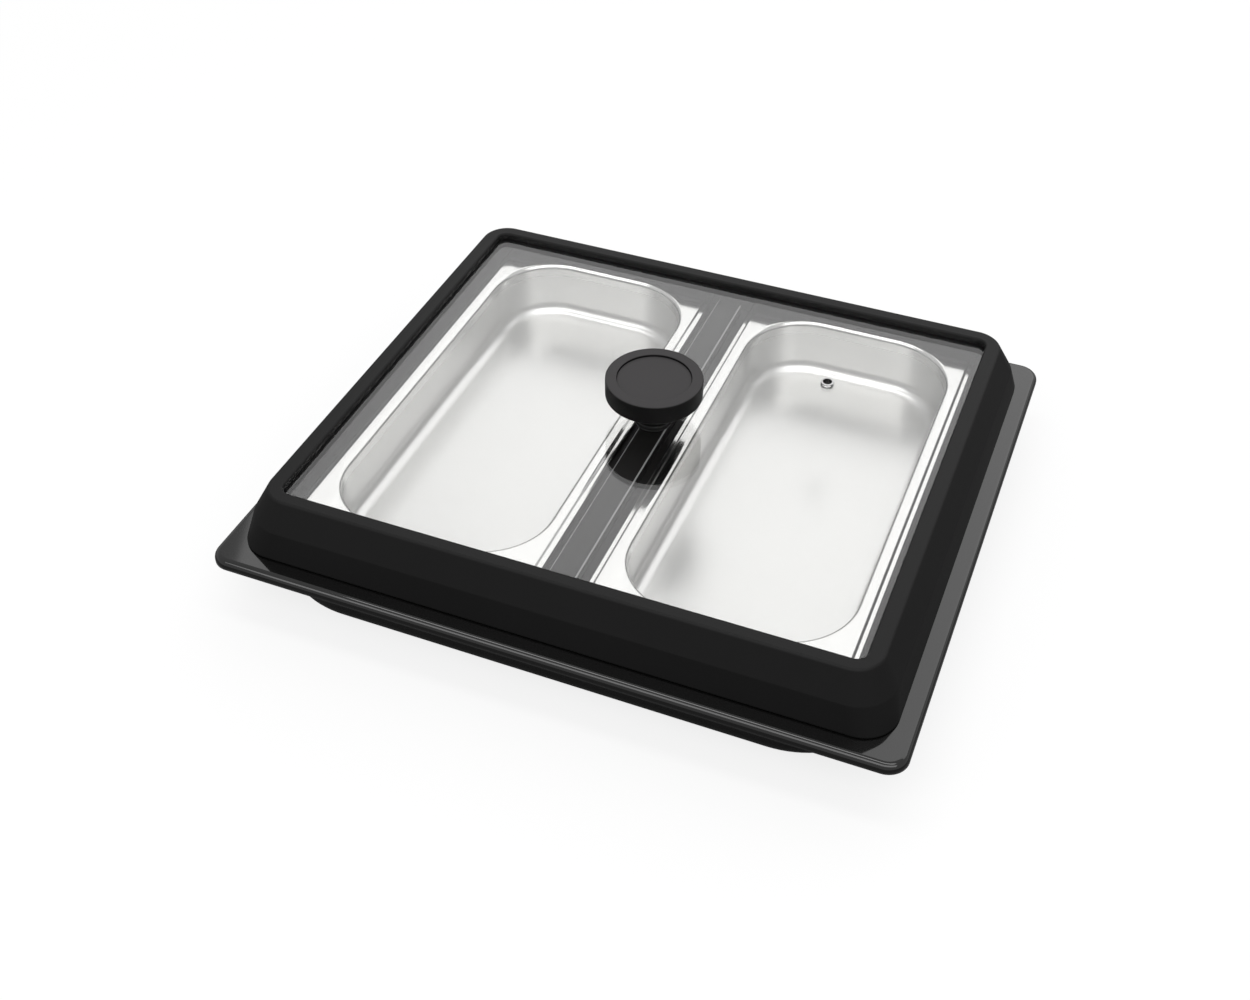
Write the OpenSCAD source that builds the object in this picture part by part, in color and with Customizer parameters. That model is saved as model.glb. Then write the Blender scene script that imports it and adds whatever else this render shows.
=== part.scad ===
// Electric buffet server: a heated base with two lift-out food pans under one glass lid.
// Origin: on the surface it stands on, in the middle of the plan.
// +X is to the right, -Y is the front, +Z is up. All sizes are in millimetres.

/* [Base] */
// Width over the rolled rim
rim_w = 400; // [340:1:480]
// Depth over the rolled rim
rim_d = 352.8; // [300:0.1:430]
// Plan radius of the rim's corners
rim_corner_r = 12; // [8:0.5:20]
// Outer radius of the rolled rim
rim_roll_r = 4; // [3:0.1:6]
// Straight lip below the roll
rim_lip_h = 1.5; // [0.5:0.1:4]
// Sheet thickness of the top panel
panel_t = 1.2; // [0.8:0.1:2]
// Flat ledge left showing beside the lid
ledge_side = 10.6; // [8:0.1:20]
// Flat ledge left showing in front of and behind the lid
ledge_front = 11.7; // [8:0.1:20]

/* [Housing] */
// How far the housing stands inside the rim
housing_inset = 14; // [7:0.1:16]
// Plan radius of the housing's corners
housing_corner_r = 60; // [30:1:80]
// Radius between the housing's wall and floor
housing_floor_r = 10; // [4:0.5:10]
// Sheet thickness of the housing
housing_t = 1.2; // [0.8:0.1:2]

/* [Feet] */
// Height of the rubber feet
foot_h = 5; // [4:0.5:15]
// Diameter of the rubber feet
foot_d = 24; // [16:1:30]
// Distance of each foot's centre from the rim's side
foot_side = 42; // [38:1:60]
// Distance of each foot's centre from the rim's front or back
foot_front = 58; // [50:1:80]

/* [Deck] */
// Gap in plan between the lid's skirt and the raised deck
deck_inset = 11.2; // [9:0.1:16]
// Height of the deck above the ledge
deck_rise = 14.2; // [10:0.1:18]
// Plan radius of the deck's corners
deck_corner_r = 20; // [10:1:30]
// Radius of the deck's top edge
deck_edge_r = 2.2; // [1.5:0.1:2.4]
// Width of the raised rib on the bridge between the pans
rib_w = 16.2; // [14:0.1:18]
// Height of that rib above the deck
rib_h = 6.5; // [3:0.1:7]
// Distance from the ends of the rib to the ends of the deck
rib_end = 14; // [10:1:30]

/* [Pans] */
// Gap between the two pans
pan_gap = 26.7; // [25:0.1:40]
// Deck left showing outside each pan
pan_side_margin = 15.6; // [6:0.1:25]
// Deck left in front of the pans
pan_front_margin = 8.5; // [3:0.1:12]
// Deck left behind the pans
pan_back_margin = 2.5; // [2.5:0.1:12]
// Depth from the flange to the floor, inside
pan_depth = 36; // [30:0.5:60]
// Sheet thickness of the pans
pan_t = 0.8; // [0.6:0.1:1.2]
// Plan radius of the flange's corners
pan_corner_r = 5; // [4.5:0.1:12]
// Radius of the rolled flange edge
pan_roll_r = 3.8; // [2:0.1:4]
// Height of the flange above the deck it rests on
pan_rest_h = 4.3; // [4:0.1:6]
// Distance from the flange's edge to the bowl
bowl_margin = 8.1; // [6:0.1:14]
// Plan radius of the bowl's corners
bowl_corner_r = 43; // [25:1:55]
// Radius where the flange turns down into the bowl
bowl_lip_r = 3; // [1.5:0.1:5]
// How far the bowl's wall leans in from top to bottom
bowl_draft = 1; // [0.5:0.1:6]
// Radius between the bowl's wall and floor
bowl_floor_r = 7.5; // [3:0.5:12]
// Clearance between the bowl and its opening in the deck
bowl_clear = 1.5; // [0.5:0.1:3]

/* [Lid] */
// Room between the rib and the knob's screw under the glass
lid_room = 1.9; // [1:0.1:15]
// Plan radius of the skirt's corners
lid_corner_r = 26.5; // [25:0.5:40]
// Wall of the moulded frame
lid_t = 4; // [3:0.1:5]
// Height of the skirt up to the crease
skirt_h = 17.3; // [14:0.1:20]
// How far the skirt leans in
skirt_in = 4.1; // [2:0.1:5]
// Plan distance from the skirt's foot to the flat top
top_in = 13.4; // [11:0.1:15]
// Plan distance from the skirt's foot to the opening
open_in = 22.1; // [20.5:0.1:24]
// Depth of the glass below the flat top
glass_drop = 3.9; // [2:0.1:5]
// Thickness of the glass
glass_t = 4; // [3:0.1:5]
// How far the glass reaches into the frame's groove
glass_bite = 6; // [3:0.1:6.5]
// Thickness of the frame under the glass
glass_lip_t = 3; // [2:0.1:4]

/* [Knob] */
// Diameter of the knob's disc
knob_d = 57; // [40:0.5:70]
// Height of the knob above the glass
knob_h = 29; // [24:0.5:45]
// Height of the disc's straight side
knob_disc_h = 12; // [6:0.5:14]
// Height of the tapered underside
knob_taper_h = 8; // [2:0.5:8]
// Diameter of the neck
knob_neck_d = 22; // [15:0.5:24]
// Diameter of the inset cap
knob_cap_d = 43.5; // [30:0.5:46]
// Thickness of the inset cap
knob_cap_t = 2.5; // [1.5:0.1:4]
// How far the cap lies below the disc's rim
knob_cap_drop = 1.2; // [0.2:0.1:2]
// Diameter of the knob's screw
knob_screw_d = 4; // [3:0.5:5]

/* [Steam vent] */
// Distance of the vent to the right of the middle
vent_x = 85.5; // [30:0.5:110]
// Distance of the vent behind the middle
vent_y = 70.3; // [30:0.1:90]
// Bore of the vent
vent_bore_d = 5.2; // [3:0.1:7]
// Diameter of the eyelet's flange
vent_flange_d = 8; // [8:0.1:12]

/* [Heater] */
// Room for the heater between the housing's floor and the pans
heater_room = 16.5; // [16:0.5:30]
// Diameter of the heating rod
rod_d = 6.5; // [5:0.1:8]
// Distance between the two runs of each heating loop
loop_w = 68; // [50:1:80]
// Gap between the heating rod and the reflector
rod_gap = 1.5; // [1:0.1:2]
// Thickness of the insulation mat
mat_t = 3.5; // [3:0.1:4]
// Thickness of the reflector plate
reflector_t = 1; // [0.6:0.1:1.5]
// Height of the reflector's upturned edge
reflector_edge_h = 6; // [3:0.5:7]
// Diameter of the inner wires
wire_d = 2.4; // [1.6:0.1:3]

/* [Power inlet] */
// Width of the inlet's body
inlet_w = 28; // [27:0.5:32]
// Height of the inlet's body
inlet_h = 19; // [18.5:0.1:20]
// Depth of the inlet's body
inlet_depth = 26; // [22:0.5:30]
// Spacing of the inlet's two screws
inlet_screw_gap = 40; // [36:0.5:46]

/* [Hidden] */
$fn = 64;

// Running clearance around screws, pins and rods
fit = 0.1;
// Overlap that lets a cut pass clean through a face
cut = 1;

// Base levels and sizes
housing_z = foot_h;
housing_h = housing_t + heater_room + pan_t + pan_depth - pan_rest_h - deck_rise;
ledge_z = foot_h + housing_h;
deck_z = ledge_z + deck_rise;
rib_z = deck_z + rib_h;
housing_w = rim_w - 2 * housing_inset;
housing_d = rim_d - 2 * housing_inset;
floor_z = housing_z + housing_t;
lid_w = rim_w - 2 * ledge_side;
lid_d = rim_d - 2 * ledge_front;
deck_w = lid_w - 2 * deck_inset;
deck_d = lid_d - 2 * deck_inset;

// Pan sizes and places
pan_w = (deck_w - 2 * pan_side_margin - pan_gap) / 2;
pan_l = deck_d - pan_front_margin - pan_back_margin;
pan_x = (pan_gap + pan_w) / 2;
pan_y = (pan_front_margin - pan_back_margin) / 2;
pan_z = deck_z + pan_rest_h;
pan_floor_z = pan_z - pan_depth;
bowl_w = pan_w - 2 * bowl_margin;
bowl_l = pan_l - 2 * bowl_margin;
floor_in = bowl_lip_r + bowl_draft + bowl_floor_r;
opening_in = bowl_lip_r - pan_t - bowl_clear;

// Lid levels: the glass clears the rib by the knob's fixings and the named room
seal_t = 0.8;
washer_t = 0.8;
screw_head_h = 2;
lid_h = deck_rise + rib_h + lid_room + screw_head_h + washer_t + seal_t + glass_t + glass_drop;
lid_top_z = ledge_z + lid_h;
glass_top_z = lid_top_z - glass_drop;
glass_z = glass_top_z - glass_t;
groove_play = 0.2;
glass_w = lid_w - 2 * (open_in - glass_bite);
glass_d = lid_d - 2 * (open_in - glass_bite);
glass_corner_r = lid_corner_r - open_in + glass_bite;

// Knob levels, from the glass up
knob_z = glass_top_z + seal_t;
knob_top_z = glass_top_z + knob_h;
cap_z = knob_top_z - knob_cap_drop - knob_cap_t;
insert_d = 8;
insert_h = 12;
screw_head_d = 8;
glass_hole_d = knob_screw_d + 2;
washer_z = glass_z - seal_t - washer_t;

// Steam vent
vent_wall_t = 0.6;
vent_flange_t = 0.7;

// Fixings of the base: posts at both sides and under the rib, a foot near each corner
post_d = 8;
post_x = deck_w / 2 - 7.2;
post_y = 60;
rib_post_y = deck_d / 2 - 27.5;
base_screw_d = 4;
base_screw_head_d = 7.6;
base_screw_head_h = 2.2;
base_screw_grip = 10;
foot_x = rim_w / 2 - foot_side;
foot_y = rim_d / 2 - foot_front;
foot_recess_d = 9;
foot_recess_h = 3;

// Heater levels and sizes
mat_w = 2 * (pan_x + bowl_w / 2) - 2 * floor_in;
mat_d = 2 * rib_post_y - post_d - 6;
mat_corner_r = 10;
reflector_z = floor_z + mat_t;
plate_z = reflector_z + reflector_t;
rod_z = plate_z + rod_gap + rod_d / 2;
loop_r = loop_w / 2;
loop_front_y = -mat_d / 2 + loop_r + rod_d;
loop_back_y = mat_d / 2 - 32;
end_seal_l = 8;
end_seal_d = 8;
end_pin_l = 8;
end_pin_d = 3;
clip_w = 11;
clip_l = 8;
clip_top = 1;
clip_end = 20;
clip_rows = [loop_front_y + clip_end, (loop_front_y + loop_back_y) / 2, loop_back_y - clip_end];

// Inlet place: centred in the rear wall, below the ledge
inlet_z = (housing_z + housing_floor_r + ledge_z - rim_roll_r - rim_lip_h) / 2;
inlet_wall_y = housing_d / 2;
inlet_back_y = inlet_wall_y - inlet_depth;
inlet_flange_t = 1.6;
inlet_flange_w = inlet_screw_gap + 10;
inlet_wall_t = 1.3;
socket_depth = 17;
inlet_play = 0.3;
inlet_screw_d = 3;
inlet_pin_x = 7;
inlet_pin_w = 2;
inlet_pin_h = 4;
inlet_pin_l = 14;

// Control and wiring places, all under the bridge between the pans
block_w = 36;
block_l = 16;
block_h = 14;
block_y = loop_back_y + 6;
thermostat_d = 18;
thermostat_h = 7;
thermostat_y = block_y - block_l / 2 - 45;
tab_w = 4;
tab_l = 22;
tab_t = 0.8;
tab_x = 6;
clamp_w = 30;
clamp_l = 22;
clamp_t = 1;
fuse_d = 4;
fuse_l = 12;
fuse_y = thermostat_y + 18;
control_z = plate_z + thermostat_h + tab_t / 2;
inlet_wire_z = plate_z + block_h - 1.5 * wire_d;
earth_wire_z = inlet_wire_z + 2 * wire_d;
earth_x = -24;
earth_y = (inlet_back_y + rib_post_y + post_d / 2) / 2;
earth_d = 4;
earth_h = 9;
earth_nut_d = 8;
earth_nut_h = 3;

// Filled rectangle with round corners, centred
module rounded_plate(w, d, r) {
    square([w - 2 * r, d], center = true);
    square([w, d - 2 * r], center = true);
    for (sx = [-1, 1], sy = [-1, 1])
        translate([sx * (w / 2 - r), sy * (d / 2 - r)])
            circle(r);
}

// Carries a section around a rounded rectangle: x = 0 is the outline, x < 0 is inside it, y is height
module swept_section(w, d, r) {
    for (side = [0, 1, 2, 3]) {
        even = side % 2 == 0;
        run = even ? d - 2 * r : w - 2 * r;
        reach = even ? w / 2 : d / 2;
        sx = side == 0 || side == 3 ? 1 : -1;
        sy = side < 2 ? 1 : -1;
        rotate([0, 0, 90 * side])
            translate([reach, 0, 0])
                rotate([90, 0, 0])
                    linear_extrude(height = run, center = true)
                        children();
        translate([sx * (w / 2 - r), sy * (d / 2 - r), 0])
            rotate([0, 0, 90 * side])
                rotate_extrude(angle = 90)
                    translate([r, 0])
                        children();
    }
}

// Quarter of a bent sheet: outer radius r, thickness t, in the quadrant (sx, sy) of the bend's centre
module bent_sheet(r, t, sx, sy) {
    intersection() {
        difference() {
            circle(r);
            circle(r - t);
        }
        translate([sx > 0 ? 0 : -r, sy > 0 ? 0 : -r])
            square(r);
    }
}

// Tube along Z from z0 up
module tube(d_out, d_in, z0, h) {
    translate([0, 0, z0])
        difference() {
            cylinder(d = d_out, h = h);
            translate([0, 0, -cut])
                cylinder(d = d_in, h = h + 2 * cut);
        }
}

// Pan-head screw standing on its head, thread upwards, underside of the head at the origin
module screw(d, head_d, head_h, length) {
    cylinder(d = d, h = length);
    translate([0, 0, -head_h])
        cylinder(d = head_d, h = head_h);
}

// Straight wire between two points that lie along one axis
module wire(a, b) {
    v = b - a;
    translate(a)
        rotate([0, acos(v.z / norm(v)), atan2(v.y, v.x)])
            cylinder(d = wire_d, h = norm(v));
}

// Wire along a list of points, with a ball at every bend
module bent_wire(points) {
    for (i = [1:len(points) - 1])
        wire(points[i - 1], points[i]);
    if (len(points) > 2)
        for (i = [1:len(points) - 2])
            translate(points[i])
                sphere(d = wire_d);
}

// One copy at each foot
module at_feet() {
    for (sx = [-1, 1], sy = [-1, 1])
        translate([sx * foot_x, sy * foot_y, 0])
            children();
}

// One copy at each side post
module at_side_posts() {
    for (sx = [-1, 1], sy = [-1, 1])
        translate([sx * post_x, sy * post_y, 0])
            children();
}

// One copy at each post under the rib
module at_rib_posts() {
    for (sy = [-1, 1])
        translate([0, sy * rib_post_y, 0])
            children();
}

// One copy at each pan, in the pan's own plan frame
module at_pans() {
    for (sx = [-1, 1])
        translate([sx * pan_x, pan_y, 0])
            children();
}

// One copy at each run of both heating loops
module at_runs() {
    for (sx = [-1, 1], run = [-1, 1])
        translate([sx * pan_x + run * loop_r, 0, 0])
            children();
}

// Top panel: rolled rim, ledge, raised deck with two openings, and the rib on the bridge
module base_panel() {
    color("#161617") {
        swept_section(rim_w, rim_d, rim_corner_r) {
            union() {
                translate([-rim_roll_r, ledge_z - rim_roll_r])
                    bent_sheet(rim_roll_r, panel_t, 1, 1);
                translate([-panel_t, ledge_z - rim_roll_r - rim_lip_h])
                    square([panel_t, rim_lip_h]);
            }
        }
        translate([0, 0, ledge_z - panel_t])
            linear_extrude(height = panel_t)
                difference() {
                    rounded_plate(rim_w - 2 * rim_roll_r, rim_d - 2 * rim_roll_r, rim_corner_r - rim_roll_r);
                    rounded_plate(deck_w - 2 * panel_t, deck_d - 2 * panel_t, deck_corner_r - panel_t);
                }
        swept_section(deck_w, deck_d, deck_corner_r) {
            union() {
                translate([-panel_t, ledge_z - panel_t])
                    square([panel_t, deck_rise + panel_t - deck_edge_r]);
                translate([-deck_edge_r, deck_z - deck_edge_r])
                    bent_sheet(deck_edge_r, panel_t, 1, 1);
            }
        }
        translate([0, 0, deck_z - panel_t])
            linear_extrude(height = panel_t)
                difference() {
                    rounded_plate(deck_w - 2 * deck_edge_r, deck_d - 2 * deck_edge_r,
                        deck_corner_r - deck_edge_r);
                    at_pans()
                        rounded_plate(bowl_w - 2 * opening_in, bowl_l - 2 * opening_in,
                            bowl_corner_r - opening_in);
                    square([rib_w - 2 * panel_t, deck_d - 2 * rib_end - 2 * panel_t], center = true);
                }
        difference() {
            translate([-rib_w / 2, rib_end - deck_d / 2, deck_z - panel_t])
                cube([rib_w, deck_d - 2 * rib_end, rib_h + panel_t]);
            translate([panel_t - rib_w / 2, rib_end - deck_d / 2 + panel_t, deck_z - panel_t - cut])
                cube([rib_w - 2 * panel_t, deck_d - 2 * rib_end - 2 * panel_t, rib_h + cut]);
        }
    }
}

// Lower housing: a shallow dish that closes the base from below
module base_housing() {
    color("#1d1d1e")
        difference() {
            union() {
                swept_section(housing_w, housing_d, housing_corner_r) {
                    union() {
                        translate([-housing_t, housing_z + housing_floor_r])
                            square([housing_t, housing_h - housing_floor_r - panel_t]);
                        translate([-housing_floor_r, housing_z + housing_floor_r])
                            bent_sheet(housing_floor_r, housing_t, 1, -1);
                    }
                }
                translate([0, 0, housing_z])
                    linear_extrude(height = housing_t)
                        rounded_plate(housing_w - 2 * housing_floor_r, housing_d - 2 * housing_floor_r,
                            housing_corner_r - housing_floor_r);
            }
            at_feet()
                screw_hole(housing_z);
            at_side_posts()
                screw_hole(housing_z);
            at_rib_posts()
                screw_hole(housing_z);
            translate([earth_x, earth_y, 0])
                screw_hole(housing_z);
            translate([-inlet_w / 2 - inlet_play, inlet_wall_y - housing_floor_r,
                    inlet_z - inlet_h / 2 - inlet_play])
                cube([inlet_w + 2 * inlet_play, housing_floor_r + cut, inlet_h + 2 * inlet_play]);
            for (sx = [-1, 1])
                translate([sx * inlet_screw_gap / 2, inlet_wall_y + cut, inlet_z])
                    rotate([90, 0, 0])
                        cylinder(d = inlet_screw_d + 2 * fit, h = housing_t + 2 * cut);
        }
}

// Clearance hole for a base screw through the floor
module screw_hole(z0) {
    translate([0, 0, z0 - cut])
        cylinder(d = base_screw_d + 2 * fit, h = housing_t + 2 * cut);
}

// Four rubber feet, each with a recess for its screw's head
module rubber_feet() {
    color("#232323")
        at_feet()
            difference() {
                cylinder(d = foot_d, h = foot_h);
                translate([0, 0, -cut])
                    cylinder(d = foot_recess_d, h = foot_recess_h + cut);
                translate([0, 0, -cut])
                    cylinder(d = base_screw_d + 2 * fit, h = foot_h + 2 * cut);
            }
}

// Screws that hold the feet to the housing's floor
module foot_screws() {
    color("#b9bcc0")
        at_feet()
            translate([0, 0, foot_recess_h])
                screw(base_screw_d, base_screw_head_d, base_screw_head_h,
                    foot_h - foot_recess_h + housing_t + mat_t / 2);
}

// Posts between the housing's floor and the top panel, tapped from below
module panel_posts() {
    color("#a6a9ad") {
        at_side_posts()
            post(deck_z - panel_t - floor_z);
        at_rib_posts()
            post(rib_z - panel_t - floor_z);
    }
}

// One post of height h with a blind screw hole
module post(h) {
    translate([0, 0, floor_z])
        difference() {
            cylinder(d = post_d, h = h);
            translate([0, 0, -cut])
                cylinder(d = base_screw_d + 2 * fit, h = base_screw_grip + 2 * cut);
        }
}

// Screws from under the housing into the posts
module panel_screws() {
    color("#b9bcc0") {
        at_side_posts()
            translate([0, 0, housing_z])
                screw(base_screw_d, base_screw_head_d, base_screw_head_h, housing_t + base_screw_grip);
        at_rib_posts()
            translate([0, 0, housing_z])
                screw(base_screw_d, base_screw_head_d, base_screw_head_h, housing_t + base_screw_grip);
    }
}

// Food pan: flat flange with a rolled edge, bowl with large corners, leaning walls and a flat floor
module food_pan() {
    color("#d5d6d3") {
        swept_section(pan_w, pan_l, pan_corner_r) {
            union() {
                translate([-pan_roll_r, pan_z - pan_roll_r])
                    bent_sheet(pan_roll_r, pan_t, 1, 1);
                translate([-pan_t, pan_z - pan_rest_h])
                    square([pan_t, pan_rest_h - pan_roll_r]);
            }
        }
        translate([0, 0, pan_z - pan_t])
            linear_extrude(height = pan_t)
                difference() {
                    rounded_plate(pan_w - 2 * pan_roll_r, pan_l - 2 * pan_roll_r, pan_corner_r - pan_roll_r);
                    rounded_plate(bowl_w, bowl_l, bowl_corner_r);
                }
        swept_section(bowl_w, bowl_l, bowl_corner_r) {
            union() {
                translate([0, pan_z - bowl_lip_r])
                    bent_sheet(bowl_lip_r, pan_t, -1, 1);
                polygon([[-bowl_lip_r, pan_z - bowl_lip_r],
                    [-bowl_lip_r - bowl_draft, pan_floor_z + bowl_floor_r],
                    [-bowl_lip_r - bowl_draft + pan_t, pan_floor_z + bowl_floor_r],
                    [-bowl_lip_r + pan_t, pan_z - bowl_lip_r]]);
                translate([-floor_in, pan_floor_z + bowl_floor_r])
                    bent_sheet(bowl_floor_r + pan_t, pan_t, 1, -1);
            }
        }
        translate([0, 0, pan_floor_z - pan_t])
            linear_extrude(height = pan_t)
                rounded_plate(bowl_w - 2 * floor_in, bowl_l - 2 * floor_in, bowl_corner_r - floor_in);
    }
}

// Left food pan
module pan_left() {
    translate([-pan_x, pan_y, 0])
        food_pan();
}

// Right food pan
module pan_right() {
    translate([pan_x, pan_y, 0])
        food_pan();
}

// Moulded lid frame: skirt, sloped shoulder, flat top band, and a groove that holds the glass
module lid_frame() {
    lean = (top_in - skirt_in) / (lid_h - skirt_h);
    lip_z = lid_h - glass_drop - glass_t - glass_lip_t;
    inner_crease = [-skirt_in - 0.9 * lid_t, skirt_h - 0.5 * lid_t];
    inner_lip_x = inner_crease.x - lean * (lip_z - inner_crease.y);
    color("#222223")
        translate([0, 0, ledge_z])
            swept_section(lid_w, lid_d, lid_corner_r)
                polygon([[0, 0], [-skirt_in, skirt_h], [-top_in, lid_h], [-open_in, lid_h],
                    [-open_in, lid_h - glass_drop + groove_play],
                    [groove_play - open_in + glass_bite, lid_h - glass_drop + groove_play],
                    [groove_play - open_in + glass_bite, lid_h - glass_drop - glass_t],
                    [-open_in, lid_h - glass_drop - glass_t],
                    [-open_in, lip_z], [inner_lip_x, lip_z], inner_crease, [-lid_t, 0]]);
}

// Glass pane with holes for the knob's screw and the steam vent
module lid_glass() {
    color("#a8b4b0", 0.4)
        translate([0, 0, glass_z])
            difference() {
                linear_extrude(height = glass_t)
                    rounded_plate(glass_w, glass_d, glass_corner_r);
                translate([0, 0, -cut])
                    cylinder(d = glass_hole_d, h = glass_t + 2 * cut);
                translate([vent_x, vent_y, -cut])
                    cylinder(d = vent_bore_d + 2 * vent_wall_t + 2 * fit, h = glass_t + 2 * cut);
            }
}

// Knob: neck, tapered underside and disc, hollow for its insert and its cap
module lid_knob() {
    disc_z = knob_top_z - knob_disc_h;
    color("#242425")
        rotate_extrude()
            polygon([[(insert_d + 2 * fit) / 2, knob_z], [knob_neck_d / 2, knob_z],
                [knob_neck_d / 2, disc_z - knob_taper_h], [knob_d / 2, disc_z], [knob_d / 2, knob_top_z],
                [knob_cap_d / 2 + fit, knob_top_z], [knob_cap_d / 2 + fit, cap_z], [0, cap_z],
                [0, knob_z + insert_h], [(insert_d + 2 * fit) / 2, knob_z + insert_h]]);
}

// Inset disc that closes the knob's top
module knob_cap() {
    color("#2b2b2c")
        translate([0, 0, cap_z])
            cylinder(d = knob_cap_d, h = knob_cap_t);
}

// Threaded insert in the knob's neck
module knob_insert() {
    color("#c2a14d")
        tube(insert_d, knob_screw_d + 2 * fit, knob_z, insert_h);
}

// Screw from under the glass into the insert
module knob_screw() {
    color("#b9bcc0")
        translate([0, 0, washer_z])
            screw(knob_screw_d, screw_head_d, screw_head_h, knob_z - washer_z + insert_h - cut);
}

// Steel washer under the screw's head
module knob_washer() {
    color("#c6c8ca")
        tube(knob_neck_d - 2, knob_screw_d + 4 * fit, washer_z, washer_t);
}

// Silicone washers above and under the glass
module knob_seals() {
    color("#3a3a3a") {
        tube(knob_neck_d, knob_screw_d + 4 * fit, glass_top_z, seal_t);
        tube(knob_neck_d, knob_screw_d + 4 * fit, glass_z - seal_t, seal_t);
    }
}

// Eyelet through the glass, flanged on both faces
module steam_vent() {
    color("#c9cbcc")
        translate([vent_x, vent_y, 0]) {
            tube(vent_bore_d + 2 * vent_wall_t, vent_bore_d, glass_z - vent_flange_t,
                glass_t + 2 * vent_flange_t);
            tube(vent_flange_d, vent_bore_d + vent_wall_t, glass_top_z, vent_flange_t);
            tube(vent_flange_d, vent_bore_d + vent_wall_t, glass_z - vent_flange_t, vent_flange_t);
        }
}

// Heating rod bent into a loop: two runs along the pan and a half-round bend at the front
module heating_loop(x0) {
    color("#6e6a66")
        translate([x0, 0, rod_z]) {
            for (run = [-1, 1])
                translate([run * loop_r, loop_front_y, 0])
                    rotate([-90, 0, 0])
                        cylinder(d = rod_d, h = loop_back_y - loop_front_y);
            translate([0, loop_front_y, 0])
                rotate([0, 0, 180])
                    rotate_extrude(angle = 180)
                        translate([loop_r, 0])
                            circle(d = rod_d);
        }
}

// Heating loop under the left pan
module heating_loop_left() {
    heating_loop(-pan_x);
}

// Heating loop under the right pan
module heating_loop_right() {
    heating_loop(pan_x);
}

// Ceramic seals on the loops' ends
module loop_end_seals() {
    color("#e8e2d4")
        at_runs()
            translate([0, loop_back_y, rod_z])
                rotate([-90, 0, 0])
                    cylinder(d = end_seal_d, h = end_seal_l);
}

// Terminal pins in the seals
module loop_end_pins() {
    color("#b8b8b2")
        at_runs()
            translate([0, loop_back_y + end_seal_l, rod_z])
                rotate([-90, 0, 0])
                    cylinder(d = end_pin_d, h = end_pin_l);
}

// Clips that hold the heating rods on the reflector
module loop_clips() {
    color("#9b9da0")
        at_runs()
            for (y = clip_rows)
                translate([0, y, 0])
                    difference() {
                        translate([-clip_w / 2, -clip_l / 2, plate_z])
                            cube([clip_w, clip_l, rod_z + rod_d / 2 + clip_top - plate_z]);
                        translate([0, -clip_l, rod_z])
                            rotate([-90, 0, 0])
                                cylinder(d = rod_d + 2 * fit, h = 2 * clip_l);
                    }
}

// Shallow bright tray under the heating loops
module reflector_plate() {
    color("#c4c6c8")
        translate([0, 0, reflector_z])
            difference() {
                linear_extrude(height = reflector_edge_h)
                    rounded_plate(mat_w, mat_d, mat_corner_r);
                translate([0, 0, reflector_t])
                    linear_extrude(height = reflector_edge_h)
                        rounded_plate(mat_w - 2 * reflector_t, mat_d - 2 * reflector_t,
                            mat_corner_r - reflector_t);
            }
}

// Insulation under the reflector
module insulation_mat() {
    color("#efece2")
        translate([0, 0, floor_z])
            linear_extrude(height = mat_t)
                rounded_plate(mat_w, mat_d, mat_corner_r);
}

// Bimetal thermostat with two tabs
module thermostat() {
    color("#7a4a2a")
        translate([0, thermostat_y, plate_z]) {
            cylinder(d = thermostat_d, h = thermostat_h);
            for (sx = [-1, 1])
                translate([sx * tab_x - tab_w / 2, -tab_l / 2, thermostat_h])
                    cube([tab_w, tab_l, tab_t]);
        }
}

// Plate that clamps the thermostat to the reflector
module thermostat_clamp() {
    color("#aeb0b2")
        translate([0, thermostat_y, plate_z])
            difference() {
                translate([-clamp_w / 2, -clamp_l / 2, 0])
                    cube([clamp_w, clamp_l, clamp_t]);
                translate([0, 0, -cut])
                    cylinder(d = thermostat_d + 2 * fit, h = clamp_t + 2 * cut);
            }
}

// Thermal fuse beside the thermostat
module thermal_fuse() {
    color("#d8d2c4")
        translate([-tab_x, fuse_y, control_z])
            rotate([-90, 0, 0])
                cylinder(d = fuse_d, h = fuse_l);
}

// Clip that holds the fuse on the reflector
module fuse_clip() {
    color("#aeb0b2")
        translate([-tab_x, fuse_y + fuse_l / 2, 0])
            difference() {
                translate([-fuse_d / 2 - clamp_t, -fuse_l / 4, plate_z])
                    cube([fuse_d + 2 * clamp_t, fuse_l / 2, control_z + fuse_d / 2 + clamp_t - plate_z]);
                translate([0, -fuse_l, control_z])
                    rotate([-90, 0, 0])
                        cylinder(d = fuse_d + 2 * fit, h = 2 * fuse_l);
            }
}

// Ceramic terminal block
module terminal_block() {
    color("#e9e6dd")
        translate([-block_w / 2, block_y - block_l / 2, plate_z])
            cube([block_w, block_l, block_h]);
}

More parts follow.
